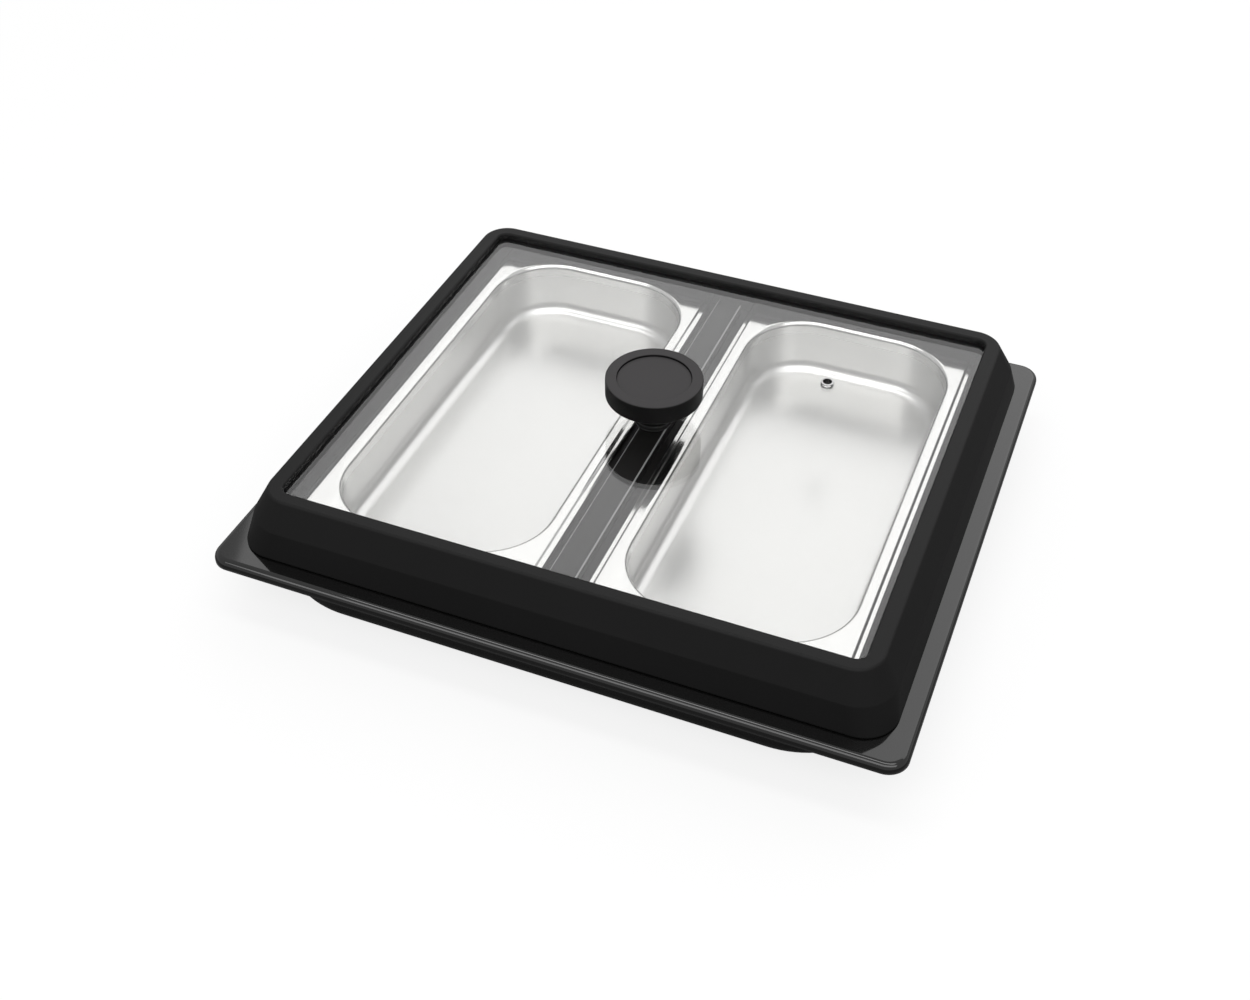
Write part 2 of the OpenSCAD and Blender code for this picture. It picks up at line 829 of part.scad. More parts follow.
// Wires: loop ends to block, inlet to block, block through thermostat and fuse, inlet to earth
module inner_wires() {
    pin_y = loop_back_y + end_seal_l + end_pin_l;
    block_back = block_y + block_l / 2;
    block_front = block_y - block_l / 2;
    inner_y = pin_y + 1.5 * wire_d;
    outer_y = pin_y + 4 * wire_d;
    thermostat_end = thermostat_y + tab_l / 2;
    color("#b7332c") {
        for (sx = [-1, 1]) {
            near = sx * (pan_x - loop_r);
            far = sx * (pan_x + loop_r);
            near_entry = sx * (block_w / 2 - wire_d);
            far_entry = sx * (block_w / 2 - 3 * wire_d);
            bent_wire([[near, pin_y, rod_z], [near, inner_y, rod_z], [near_entry, inner_y, rod_z],
                [near_entry, block_back, rod_z]]);
            bent_wire([[far, pin_y, rod_z], [far, outer_y, rod_z], [far_entry, outer_y, rod_z],
                [far_entry, block_back, rod_z]]);
            wire([sx * inlet_pin_x, inlet_back_y, inlet_wire_z],
                [sx * inlet_pin_x, block_back, inlet_wire_z]);
        }
        wire([tab_x, thermostat_end, control_z], [tab_x, block_front, control_z]);
        wire([-tab_x, thermostat_end, control_z], [-tab_x, fuse_y, control_z]);
        wire([-tab_x, fuse_y + fuse_l, control_z], [-tab_x, block_front, control_z]);
    }
    color("#5f8a2e")
        bent_wire([[0, inlet_back_y, earth_wire_z], [0, earth_y, earth_wire_z],
            [earth_x, earth_y, earth_wire_z], [earth_x, earth_y, floor_z + earth_h]]);
}

// Earth stud through the housing's floor, with its nut
module earth_stud() {
    color("#c2a14d")
        translate([earth_x, earth_y, 0]) {
            translate([0, 0, housing_z])
                screw(earth_d, base_screw_head_d, base_screw_head_h, housing_t + earth_h);
            translate([0, 0, floor_z])
                cylinder(d = earth_nut_d, h = earth_nut_h, $fn = 6);
        }
}

// Appliance inlet in the rear wall: flange outside, body inside, open socket
module power_inlet() {
    color("#1a1a1a")
        difference() {
            union() {
                translate([-inlet_w / 2, inlet_back_y, inlet_z - inlet_h / 2])
                    cube([inlet_w, inlet_depth + inlet_flange_t, inlet_h]);
                translate([-inlet_flange_w / 2, inlet_wall_y, inlet_z - inlet_h / 2])
                    cube([inlet_flange_w, inlet_flange_t, inlet_h]);
            }
            translate([inlet_wall_t - inlet_w / 2, inlet_wall_y + inlet_flange_t - socket_depth,
                    inlet_z - inlet_h / 2 + inlet_wall_t])
                cube([inlet_w - 2 * inlet_wall_t, socket_depth + cut, inlet_h - 2 * inlet_wall_t]);
            for (sx = [-1, 1])
                translate([sx * inlet_screw_gap / 2, inlet_wall_y - cut, inlet_z])
                    rotate([-90, 0, 0])
                        cylinder(d = inlet_screw_d + 2 * fit, h = inlet_flange_t + 2 * cut);
        }
}

// Three contact pins in the socket
module inlet_pins() {
    pin_y = inlet_wall_y + inlet_flange_t - socket_depth;
    color("#c6c8ca")
        for (p = [[-inlet_pin_x, -1], [0, 3], [inlet_pin_x, -1]])
            translate([p.x - inlet_pin_w / 2, pin_y, inlet_z + p.y - inlet_pin_h / 2])
                cube([inlet_pin_w, inlet_pin_l, inlet_pin_h]);
}

// Two screws through the inlet's flange
module inlet_screws() {
    color("#b9bcc0")
        for (sx = [-1, 1])
            translate([sx * inlet_screw_gap / 2, inlet_wall_y + inlet_flange_t, inlet_z])
                rotate([90, 0, 0])
                    screw(inlet_screw_d, 2 * inlet_screw_d, inlet_screw_d / 2, 2 * inlet_screw_d);
}

base_panel();
base_housing();
rubber_feet();
foot_screws();
panel_posts();
panel_screws();
pan_left();
pan_right();
lid_frame();
lid_glass();
lid_knob();
knob_cap();
knob_insert();
knob_screw();
knob_washer();
knob_seals();
steam_vent();
heating_loop_left();
heating_loop_right();
loop_end_seals();
loop_end_pins();
loop_clips();
reflector_plate();
insulation_mat();
thermostat();
thermostat_clamp();
thermal_fuse();
fuse_clip();
terminal_block();
inner_wires();
earth_stud();
power_inlet();
inlet_pins();
inlet_screws();
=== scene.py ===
"""Looks of an electric buffet server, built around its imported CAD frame.

Every new piece is a numpy surface in the CAD's own frame, in metres: +X right, -Y front, +Z up.
"""

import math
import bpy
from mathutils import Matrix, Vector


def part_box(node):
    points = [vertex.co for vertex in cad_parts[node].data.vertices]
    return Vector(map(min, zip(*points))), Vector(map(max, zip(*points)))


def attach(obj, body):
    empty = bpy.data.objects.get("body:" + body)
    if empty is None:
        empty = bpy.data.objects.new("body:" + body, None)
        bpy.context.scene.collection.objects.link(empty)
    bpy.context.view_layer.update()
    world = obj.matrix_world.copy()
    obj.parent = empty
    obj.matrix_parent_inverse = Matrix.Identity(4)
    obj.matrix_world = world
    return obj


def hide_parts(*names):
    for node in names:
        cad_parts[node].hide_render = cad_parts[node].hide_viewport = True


bl_info = {
    "name": "Electric Buffet Server",
    "version": (1, 0, 0),
    "blender": (4, 5, 0),
    "location": "View3D > Sidebar > Buffet Server",
    "description": "Builds the visible surfaces, finishes and stage of an electric buffet server",
    "category": "Object",
}

import bpy
import numpy as np
from bpy.props import FloatProperty, FloatVectorProperty, PointerProperty
from mathutils import Vector
from mathutils.geometry import tessellate_polygon

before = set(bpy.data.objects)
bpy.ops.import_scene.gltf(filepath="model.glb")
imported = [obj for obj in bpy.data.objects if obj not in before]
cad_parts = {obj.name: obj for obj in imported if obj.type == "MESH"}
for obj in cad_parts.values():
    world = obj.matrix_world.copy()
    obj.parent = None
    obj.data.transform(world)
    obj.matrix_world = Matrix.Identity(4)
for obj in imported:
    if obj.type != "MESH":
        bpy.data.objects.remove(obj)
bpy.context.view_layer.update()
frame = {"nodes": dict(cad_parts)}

MM = 0.001
CORNER_STEPS = 24  # steps in a plan corner's quarter turn
TURN_STEPS = 128  # points on a full turn
SUPPORT = 0.25 * MM  # from a rounded corner to its support points
SUPPORT_SHARE = 0.02  # the most of a short side that a support point takes up
FIT = 0.1 * MM  # play between pieces that sit in each other
WHITE = (1, 1, 1, 1)
# Pale grey of the painted highlight along the rib's edges
PAINTED_HIGHLIGHT = (0.3, 0.3, 0.3, 1)

PANEL_LOW, PANEL_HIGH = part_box("base_panel")
HOUSING_LOW, HOUSING_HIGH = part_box("base_housing")
LID_LOW, LID_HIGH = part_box("lid_frame")
GLASS_LOW, GLASS_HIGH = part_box("lid_glass")
KNOB_LOW, KNOB_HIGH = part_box("lid_knob")
CAP_LOW, CAP_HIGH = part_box("knob_cap")
VENT_LOW, VENT_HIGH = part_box("steam_vent")
PAN_LOW, PAN_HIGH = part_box("pan_right")
FOOT_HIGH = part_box("rubber_feet")[1]
INLET_LOW, INLET_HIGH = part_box("power_inlet")


def length(name, description, millimetres):
    """A size that the sidebar shows."""
    return FloatProperty(
        name=name, description=description, default=millimetres * MM, min=0.0, unit="LENGTH"
    )


def colour(name, description, *rgb):
    """A linear colour that the sidebar shows."""
    return FloatVectorProperty(
        name=name,
        description=description,
        default=(*rgb, 1.0),
        size=4,
        min=0.0,
        max=1.0,
        subtype="COLOR",
    )


class BuffetSizes(bpy.types.PropertyGroup):
    """Sizes of the visible pieces."""

    rim_roll: length("Rim roll", "Outer radius of the base's rolled rim", 4.0)
    rim_corner: length("Rim corner", "Plan radius of the rim's corners", 12)
    panel_sheet: length("Panel sheet", "Sheet thickness of the panel and the housing", 1.2)
    deck_inset: length("Deck inset", "Plan distance from the lid's skirt to the deck", 11.2)
    deck_rise: length("Deck rise", "Height of the deck above the ledge", 14.2)
    deck_corner: length("Deck corner", "Plan radius of the deck's corners", 20)
    deck_foot: length("Deck foot", "Radius between the ledge and the deck's side", 1.5)
    deck_edge: length("Deck edge", "Radius between the deck's side and its top", 2.2)
    rib_width: length("Rib width", "Width of the rib on the bridge", 16.2)
    rib_rise: length("Rib rise", "Height of the rib above the deck", 6.5)
    rib_end: length("Rib end", "Distance from the rib's end to the deck's end", 14)
    rib_corner: length("Rib corner", "Plan radius of the rib's corners", 2.4)
    rib_foot: length("Rib foot", "Radius between the deck and the rib's side", 0.8)
    rib_edge: length("Rib edge", "Radius between the rib's side and its top", 1.8)
    housing_corner: length("Housing corner", "Plan radius of the housing's corners", 60)
    housing_floor: length("Housing floor", "Radius between the housing's wall and floor", 10)
    inlet_width: length("Inlet width", "Width of the inlet's body in the housing's wall", 28)
    foot_width: length("Foot width", "Diameter of the rubber feet", 24)
    foot_recess: length("Foot recess", "Diameter of the screw's recess in a foot", 9)
    foot_seat: length("Foot seat", "Height of the screw's seat above the ground", 3)
    foot_bore: length("Foot bore", "Diameter of the screw's hole in a foot", 4.2)
    pan_sheet: length("Pan sheet", "Sheet thickness of the pans", 0.8)
    pan_edge: length("Pan edge", "Height of the turned-down edge around a pan", 4.2)
    hem_width: length("Hem width", "Width of the lower step along the pans' edge", 3.0)
    hem_step: length("Hem step", "Drop from the pans' flange to its hem", 1.3)
    hem_slope: length("Hem slope", "Plan width of the slope from the hem to the flange", 1.3)
    pan_corner: length("Pan corner", "Plan radius of the flange's corners", 5)
    bowl_margin: length("Bowl margin", "Distance from the flange's edge to the bowl", 8.1)
    bowl_corner: length("Bowl corner", "Plan radius of the bowl's corners", 43)
    bowl_lip: length("Bowl lip", "Radius where the flange turns into the bowl", 3)
    bowl_draft: length("Bowl draft", "Plan distance that the bowl's wall leans in", 1)
    bowl_floor: length("Bowl floor", "Radius between the bowl's wall and floor", 7.5)
    skirt_rise: length("Skirt rise", "Height of the lid's crease above the ledge", 17.3)
    frame_lip: length("Frame lip", "Thickness of the frame's lip under the glass", 3)
    knob_disc: length("Knob disc", "Height of the knob's straight side", 12)
    knob_taper: length("Knob taper", "Height of the cone under the knob's disc", 8)
    knob_neck: length("Knob neck", "Diameter of the knob's neck", 22)
    knob_bore: length("Knob bore", "Diameter of the knob's hole for its insert", 8.2)
    vent_bore: length("Vent bore", "Diameter of the steam hole", 5.2)
    vent_tube: length("Vent tube", "Diameter of the eyelet in the glass", 6.4)


class BuffetColours(bpy.types.PropertyGroup):
    """Base colours of the finishes."""

    enamel: colour("Enamel", "Gloss black enamel of the base", 0.0024, 0.0023, 0.0023)
    frame: colour("Lid frame", "Matt black moulding of the lid's frame", 0.0082, 0.0081, 0.0082)
    knob: colour("Knob", "Matt black moulding of the knob", 0.0045, 0.0043, 0.0044)
    steel: colour("Steel", "Satin stainless steel of the pans", 0.64, 0.637, 0.627)
    glass: colour("Glass", "Clear tempered glass", 0.99, 0.992, 0.99)
    rubber: colour("Rubber", "Black rubber of the feet", 0.018, 0.018, 0.018)
    eyelet: colour("Eyelet", "Steel of the steam vent", 0.5, 0.5, 0.5)
    zinc: colour("Zinc", "Zinc plate of the screws and posts", 0.55, 0.55, 0.56)
    galvanised: colour("Galvanised", "Galvanised steel of the clips", 0.5, 0.51, 0.52)
    brass: colour("Brass", "Brass of the insert, stud and pins", 0.72, 0.52, 0.22)
    washer: colour("Washer", "Silicone of the knob's washers", 0.025, 0.025, 0.025)
    sheath: colour("Sheath", "Heat-dulled sheath of the loops", 0.16, 0.145, 0.13)
    ceramic: colour("Ceramic", "Unglazed ceramic of seals and block", 0.8, 0.77, 0.69)
    reflector: colour("Reflector", "Aluminised steel of the reflector", 0.76, 0.77, 0.78)
    fibre: colour("Fibre", "Fibre of the insulation mat", 0.82, 0.8, 0.72)
    phenolic: colour("Phenolic", "Phenolic case of the thermostat", 0.16, 0.06, 0.03)
    sleeve: colour("Sleeve", "Silicone sleeve of the wires", 0.42, 0.04, 0.025)
    inlet: colour("Inlet", "Black moulding of the inlet", 0.012, 0.012, 0.012)
    floor: colour("Floor", "Pale studio floor", 0.95, 0.95, 0.95)


# Surfaces


def softened(points, radii, steps=8, closed=False):
    """A section line with its corners rounded.

    Each corner becomes the circle arc that touches both of its sides, between two support points
    that keep the flat sides flat. The first two columns are the section's plane; further columns
    go along in proportion, because an arc point is the corner plus two weighted side vectors.
    """
    points = np.asarray(points, float)
    rows = []
    last = len(points) - 1
    shared, free = 0.48, 0.95  # shares of a side that an arc may take up
    for i, radius in enumerate(radii):
        if radius <= 0 or (not closed and i in (0, last)):
            rows.append(points[i : i + 1])
            continue
        back = points[i - 1] - points[i]
        following = (i + 1) % len(points)
        ahead = points[following] - points[i]
        back_length, ahead_length = np.hypot(*back[:2]), np.hypot(*ahead[:2])
        back, ahead = back / back_length, ahead / ahead_length
        half = math.acos(np.clip(back[:2] @ ahead[:2], -1, 1)) / 2
        room = [shared if radii[k] > 0 else free for k in (i - 1, following)]
        reach = min(radius / math.tan(half), room[0] * back_length, room[1] * ahead_length)
        bend = reach * math.tan(half)
        centre = points[i] + (back + ahead) * reach / (1 + math.cos(2 * half))
        turn = np.linspace(0, math.pi - 2 * half, steps + 1)[:, None]
        start = points[i] + reach * back
        arc = centre + (start - centre) * np.cos(turn) - bend * back * np.sin(turn)
        guard = min(SUPPORT, SUPPORT_SHARE * min(back_length, ahead_length))
        rows += [start[None] + guard * back, arc, points[i][None] + (reach + guard) * ahead]
    return np.vstack(rows)


def sheet_section(skin, thickness):
    """The closed section of a pressed sheet.

    It is the skin, walked from its end to its start one thickness to the left of its direction,
    and then the skin itself. Plan sizes and corner radii move along.
    """
    step = np.diff(skin[:, :2], axis=0)
    step /= np.linalg.norm(step, axis=1)[:, None]
    along = np.vstack([step[:1], step[:-1] + step[1:], step[-1:]])
    along /= np.linalg.norm(along, axis=1)[:, None]
    inner = skin.copy()
    inner[:, 0] -= thickness * along[:, 1]
    inner[:, 1] += thickness * along[:, 0]
    inner[:, 2:] -= thickness * along[:, 1:]
    return np.vstack([inner[::-1], skin])


def plan_rings(section, centre=(0.0, 0.0), back_cut=0.0):
    """Rounded rectangles, one per row of (half width, height, half depth, corner radius).

    A corner point is the corner's centre plus its radius times (cos, sin) of an angle that runs
    through a quarter turn; the sides join the arcs' ends. A back_cut adds two points to the rear
    side, that far to each side of the middle.
    """
    quarter = np.repeat(np.arange(4), CORNER_STEPS + 1)
    angle = np.tile(np.linspace(0, math.pi / 2, CORNER_STEPS + 1), 4) + quarter * math.pi / 2
    side_x = np.where((quarter == 0) | (quarter == 3), 1, -1)
    side_y = np.where(quarter < 2, 1, -1)
    half_x, z, half_y, radius = (column[:, None] for column in np.asarray(section, float).T)
    x = side_x * (half_x - radius) + radius * np.cos(angle)
    y = side_y * (half_y - radius) + radius * np.sin(angle)
    if back_cut:
        cut = np.full_like(half_y, back_cut)
        x = np.insert(x, [CORNER_STEPS + 1], np.hstack([cut, -cut]), axis=1)
        y = np.insert(y, [CORNER_STEPS + 1], np.hstack([half_y, half_y]), axis=1)
    return np.stack([x + centre[0], y + centre[1], np.broadcast_to(z, x.shape)], axis=2)


def turned_rings(section, centre=(0.0, 0.0)):
    """Circles about a vertical axis, one per row of (radius, height).

    A point is the centre plus the radius times (cos, sin) of the turn.
    """
    angle = np.linspace(0, 2 * math.pi, TURN_STEPS, endpoint=False)
    radius, z = (column[:, None] for column in np.asarray(section, float).T)
    x = centre[0] + radius * np.cos(angle)
    y = centre[1] + radius * np.sin(angle)
    return np.stack([x, y, np.broadcast_to(z, x.shape)], axis=2)


def ring_quads(rings, closed=False, first=0):
    """Quads between neighbouring rings; they face outwards where the rings go up or inwards."""
    rows, count = rings.shape[:2]
    index = first + np.arange(rows * count).reshape(rows, count)
    if closed:
        index = np.vstack([index, index[:1]])
    onward = np.roll(index, -1, axis=1)
    return np.stack([index[:-1], onward[:-1], onward[1:], index[1:]], axis=2).reshape(-1, 4)


def end_faces(rings):
    """The faces that close a stack of rings: the first ring, turned round, and the last one."""
    rows, count = rings.shape[:2]
    index = list(range(rows * count))
    return [index[:count][::-1], index[-count:]]


def flat_between(points, edges):
    """Triangles that fill a flat outline around its holes and face up.

    The first edge is the outline and the others are the holes; a triangle whose sides turn
    clockwise in plan is turned round.
    """
    index = np.concatenate(edges)
    flat = np.array(tessellate_polygon([[Vector(point) for point in points[e]] for e in edges]))
    a, b, c = (points[index[flat[:, k]], :2] for k in range(3))
    clockwise = np.cross(b - a, c - a) < 0
    flat[clockwise] = flat[clockwise][:, ::-1]
    return index[flat].tolist()


def plan_of(low, high):
    """A box in plan: the middle's x and y, and half its width and depth."""
    middle, half = (low + high) / 2, (high - low) / 2
    return middle.x, middle.y, half.x, half.y


def piece(name, body, finish, points, faces, replaces):
    """Puts points and faces into a smooth-shaded mesh object that rides on a CAD body."""
    mesh = bpy.data.meshes.new(name)
    mesh.from_pydata(np.asarray(points).reshape(-1, 3).tolist(), [], faces)
    mesh.polygons.foreach_set("use_smooth", np.ones(len(mesh.polygons), bool))
    mesh.materials.append(finish)
    if mesh.validate():
        raise RuntimeError(f"{name}: the surface has faulty faces")
    made = bpy.data.objects.new(name, mesh)
    bpy.context.scene.collection.objects.link(made)
    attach(made, body)
    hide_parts(*replaces)
    return made


def thicken(made, thickness):
    """Gives a skin its sheet thickness behind its faces."""
    solid = made.modifiers.new("Sheet", "SOLIDIFY")
    solid.thickness = thickness
    solid.offset = -1
    solid.use_even_offset = True


# Finishes


class Value:
    """A node's output in a sum: each operator adds one Math node to the same tree."""

    def __init__(self, tree, socket):
        self.tree = tree
        self.socket = socket

    def _join(self, operation, *terms):
        node = self.tree.nodes.new("ShaderNodeMath")
        node.operation = operation
        for socket, term in zip(node.inputs, terms):
            feed(self.tree, socket, term)
        return Value(self.tree, node.outputs[0])

    def __add__(self, other):
        return self._join("ADD", self, other)

    def __radd__(self, other):
        return self._join("ADD", other, self)

    def __sub__(self, other):
        return self._join("SUBTRACT", self, other)

    def __rsub__(self, other):
        return self._join("SUBTRACT", other, self)

    def __mul__(self, other):
        return self._join("MULTIPLY", self, other)

    def __rmul__(self, other):
        return self._join("MULTIPLY", other, self)

    def __abs__(self):
        return self._join("ABSOLUTE", self)


def feed(tree, socket, value):
    """Links a Value to a socket, or sets a plain number or colour on it."""
    if isinstance(value, Value):
        tree.links.new(value.socket, socket)
    else:
        socket.default_value = value


class Shader:
    """A node tree under construction."""

    def __init__(self, owner, end="ShaderNodeOutputMaterial"):
        owner.use_nodes = True
        self.tree = owner.node_tree
        self.tree.nodes.clear()
        self.end = end

    def node(self, kind, settings=None, sockets=None, output=0):
        """Adds a node, with its settings first and then its sockets' values or links."""
        made = self.tree.nodes.new(kind)
        for key, value in (settings or {}).items():
            setattr(made, key, value)
        for key, value in (sockets or {}).items():
            feed(self.tree, made.inputs[key], value)
        return Value(self.tree, made.outputs[output])

    def place(self, scale=(1, 1, 1)):
        """Object coordinates, stretched along the axes."""
        at = self.node("ShaderNodeTexCoord", output="Object")
        return self.node("ShaderNodeMapping", sockets={"Vector": at, "Scale": scale})

    def axis(self, at, letter):
        """One coordinate of a place."""
        return self.node("ShaderNodeSeparateXYZ", sockets={"Vector": at}, output=letter)

    def ramp(self, value, start, end, low=0.0, high=1.0):
        """Goes from low to high as the value goes from start to end, and stays there beyond."""
        sockets = {"From Min": start, "From Max": end, "To Min": low, "To Max": high}
        return self.node("ShaderNodeMapRange", sockets={"Value": value, **sockets})

    def ray(self, kind):
        """1 for rays of a kind, such as Camera, and 0 for others."""
        return self.node("ShaderNodeLightPath", output=f"Is {kind} Ray")

    def grain(self, at, scale, detail=2.0, rough=0.5):
        """Noise from 0 to 1 with about scale cells in a metre."""
        sockets = {"Vector": at, "Scale": scale, "Detail": detail, "Roughness": rough}
        return self.node("ShaderNodeTexNoise", sockets=sockets)

    def relief(self, height, strength, depth):
        """A normal bent by a height field."""
        sockets = {"Strength": strength, "Distance": depth, "Height": height}
        return self.node("ShaderNodeBump", sockets=sockets)

    def blend(self, share, first, second):
        """A colour between two, by share."""
        settings = {"data_type": "RGBA"}
        return self.node("ShaderNodeMix", settings, {0: share, 6: first, 7: second}, output=2)

    def surface(self, shader):
        """Sends a shader to the tree's output."""
        feed(self.tree, self.tree.nodes.new(self.end).inputs["Surface"], shader)


def shade(base, factor):
    """A colour with its brightness changed by a factor."""
    return (base[0] * factor, base[1] * factor, base[2] * factor, 1.0)


def new_finish(name):
    """A material and the shader that fills it."""
    material = bpy.data.materials.new(name)
    return material, Shader(material)


def gloss_enamel(name, base, rough, uncoated_painted_light_above=None, highlight_edge=None):
    """Stoved enamel: black under a clear coat, with a haze in its colour and gloss.

    Above a given height its clear coat is gone, with a soft passage of 4 mm, and its colour
    is six times lighter, which is painted light. A half width and a height place a straight edge
    along Y with a painted highlight: a pale line that stands in for the light the edge catches.
    """
    material, s = new_finish(name)
    at = s.place()
    haze = s.grain(at, 28, 4.0, 0.6)
    tint, coat = s.blend(haze, base, shade(base, 1.4)), 1.0
    # Above this height the clear coat goes, a duller finish, and the colour turns six times
    # lighter, which is painted light on the deck and its rib.
    if uncoated_painted_light_above is not None:
        uncoated_painted_light = s.ramp(s.axis(at, "Z"), uncoated_painted_light_above - 4 * MM, uncoated_painted_light_above)
        coat = 1.0 - uncoated_painted_light
        tint = s.blend(uncoated_painted_light, tint, shade(base, 6))
    # Painted highlight: a pale line along each top edge of the rib, standing in for the light that
    # the edges catch.
    if highlight_edge is not None:
        half_width, top = highlight_edge
        beside = s.ramp(abs(abs(s.axis(at, "X")) - half_width), 0.45 * MM, 0.25 * MM)
        above = s.ramp(s.axis(at, "Z"), top - 1.2 * MM, top - 0.9 * MM)
        tint = s.blend(beside * above, tint, PAINTED_HIGHLIGHT)
    sockets = {
        "Base Color": tint,
        "Roughness": rough + 0.2 + 0.1 * haze,
        "Specular IOR Level": 0.06,
        "Coat Weight": coat,
        "Coat Roughness": rough,
        "Coat IOR": 1.6,
    }
    s.surface(s.node("ShaderNodeBsdfPrincipled", sockets=sockets))
    return material


def grained_plastic(name, base, rough, gloss=0.25, painted_light_above=None, pale=1.0):
    """Moulded plastic: a fine eroded grain, and cloudy handling marks in colour and gloss.

    Above a given height the colour is lighter by the factor pale: painted light that makes a top
    face look brighter than the sides.
    """
    material, s = new_finish(name)
    at = s.place()
    cloud = s.grain(at, 22, 4.0, 0.6)
    eroded = s.grain(at, 2600, 2.0) + 0.5 * s.grain(at, 900, 1.0)
    tint = s.blend(cloud, shade(base, 0.85), shade(base, 1.15))
    # Painted light: above this height the colour is made lighter, so that the top face looks lit.
    if painted_light_above is not None:
        above = s.ramp(s.axis(at, "Z"), painted_light_above - 0.6 * MM, painted_light_above)
        top = s.blend(cloud, shade(base, 0.9 * pale), shade(base, 1.1 * pale))
        tint = s.blend(above, tint, top)
    sockets = {
        "Base Color": tint,
        "Roughness": rough + 0.08 * (cloud - 0.5),
        "IOR": 1.46,
        "Specular IOR Level": gloss,
        "Normal": s.relief(eroded, 0.25, 0.05 * MM),
    }
    s.surface(s.node("ShaderNodeBsdfPrincipled", sockets=sockets))
    return material


def satin_steel(name, base, rough, along=(900, 40, 900), bright_above=None, bright=0.0):
    """Rolled stainless steel: a fine directional grain and a soft cloud in its gloss.

    Above the height bright_above it is smoother by bright, with a soft passage of 6 mm.
    """
    material, s = new_finish(name)
    lines = s.grain(s.place(along), 1.0, 3.0, 0.6)
    cloud = s.grain(s.place(), 18, 3.0)
    rough = rough + 0.015 * (lines - 0.5) + 0.03 * (cloud - 0.5)
    if bright_above is not None:
        above = s.ramp(s.axis(s.place(), "Z"), bright_above - 6 * MM, bright_above)
        rough = rough - bright * above
    sockets = {
        "Base Color": s.blend(cloud, shade(base, 0.98), shade(base, 1.02)),
        "Metallic": 1.0,
        "Roughness": rough,
    }
    s.surface(s.node("ShaderNodeBsdfPrincipled", sockets=sockets))
    return material


def painted_shade_bore_steel(name, base, centre, bore):
    """Satin steel around a vertical axis, with painted shade that makes its bore dark up to its
    own radius.
    """
    material, s = new_finish(name)
    ends = {0: s.place((1, 1, 0)), 1: (*centre, 0)}
    reach = s.node("ShaderNodeVectorMath", {"operation": "DISTANCE"}, ends, "Value")
    # Painted shade: inside the bore's radius the steel turns a dark, dull black.
    outside = s.ramp(reach, bore + 0.1 * MM, bore + 0.4 * MM)
    cloud = s.grain(s.place(), 900, 2.0)
    sockets = {
        "Base Color": s.blend(outside, shade(base, 0.03), base),
        "Metallic": outside,
        "Roughness": 0.3 + 0.1 * (cloud - 0.5),
    }
    s.surface(s.node("ShaderNodeBsdfPrincipled", sockets=sockets))
    return material


def clear_glass(name, base):
    """Tempered glass: it bends and mirrors what is seen, and lets the lamps' light through."""
    material, s = new_finish(name)
    cloud = s.grain(s.place(), 9, 1.0)
    sockets = {
        "Base Color": s.blend(cloud, base, shade(base, 0.995)),
        "Roughness": 0.0,
        "IOR": 1.52,
        "Transmission Weight": 1.0,
    }
    body = s.node("ShaderNodeBsdfPrincipled", sockets=sockets)
    shadow_tint = (0.93, 0.935, 0.93, 1)
    through = s.node("ShaderNodeBsdfTransparent", sockets={"Color": shadow_tint})
    lit = s.ray("Shadow") + s.ray("Diffuse")
    s.surface(s.node("ShaderNodeMixShader", sockets={0: lit, 1: body, 2: through}))
    return material


def matt_body(name, base, rough, metal=0.0, spread=0.15, scale=120.0, depth=0.08 * MM):
    """A plain inner piece: cloudy colour and gloss over a fine relief."""
    material, s = new_finish(name)
    at = s.place()
    cloud = s.grain(at, scale, 4.0, 0.6)
    sockets = {
        "Base Color": s.blend(cloud, shade(base, 1 - spread), shade(base, 1 + spread)),
        "Metallic": metal,
        "Roughness": rough + 0.15 * (cloud - 0.5),
        "Normal": s.relief(s.grain(at, 12 * scale, 2.0), 0.2, depth),
    }
    s.surface(s.node("ShaderNodeBsdfPrincipled", sockets=sockets))
    return material


def show_nodes(finish, *nodes):
    """Gives CAD nodes that stay visible a finish."""
    for node in nodes:
        shown = frame["nodes"][node]
        shown.data.materials.clear()
        shown.data.materials.append(finish)


# Pieces


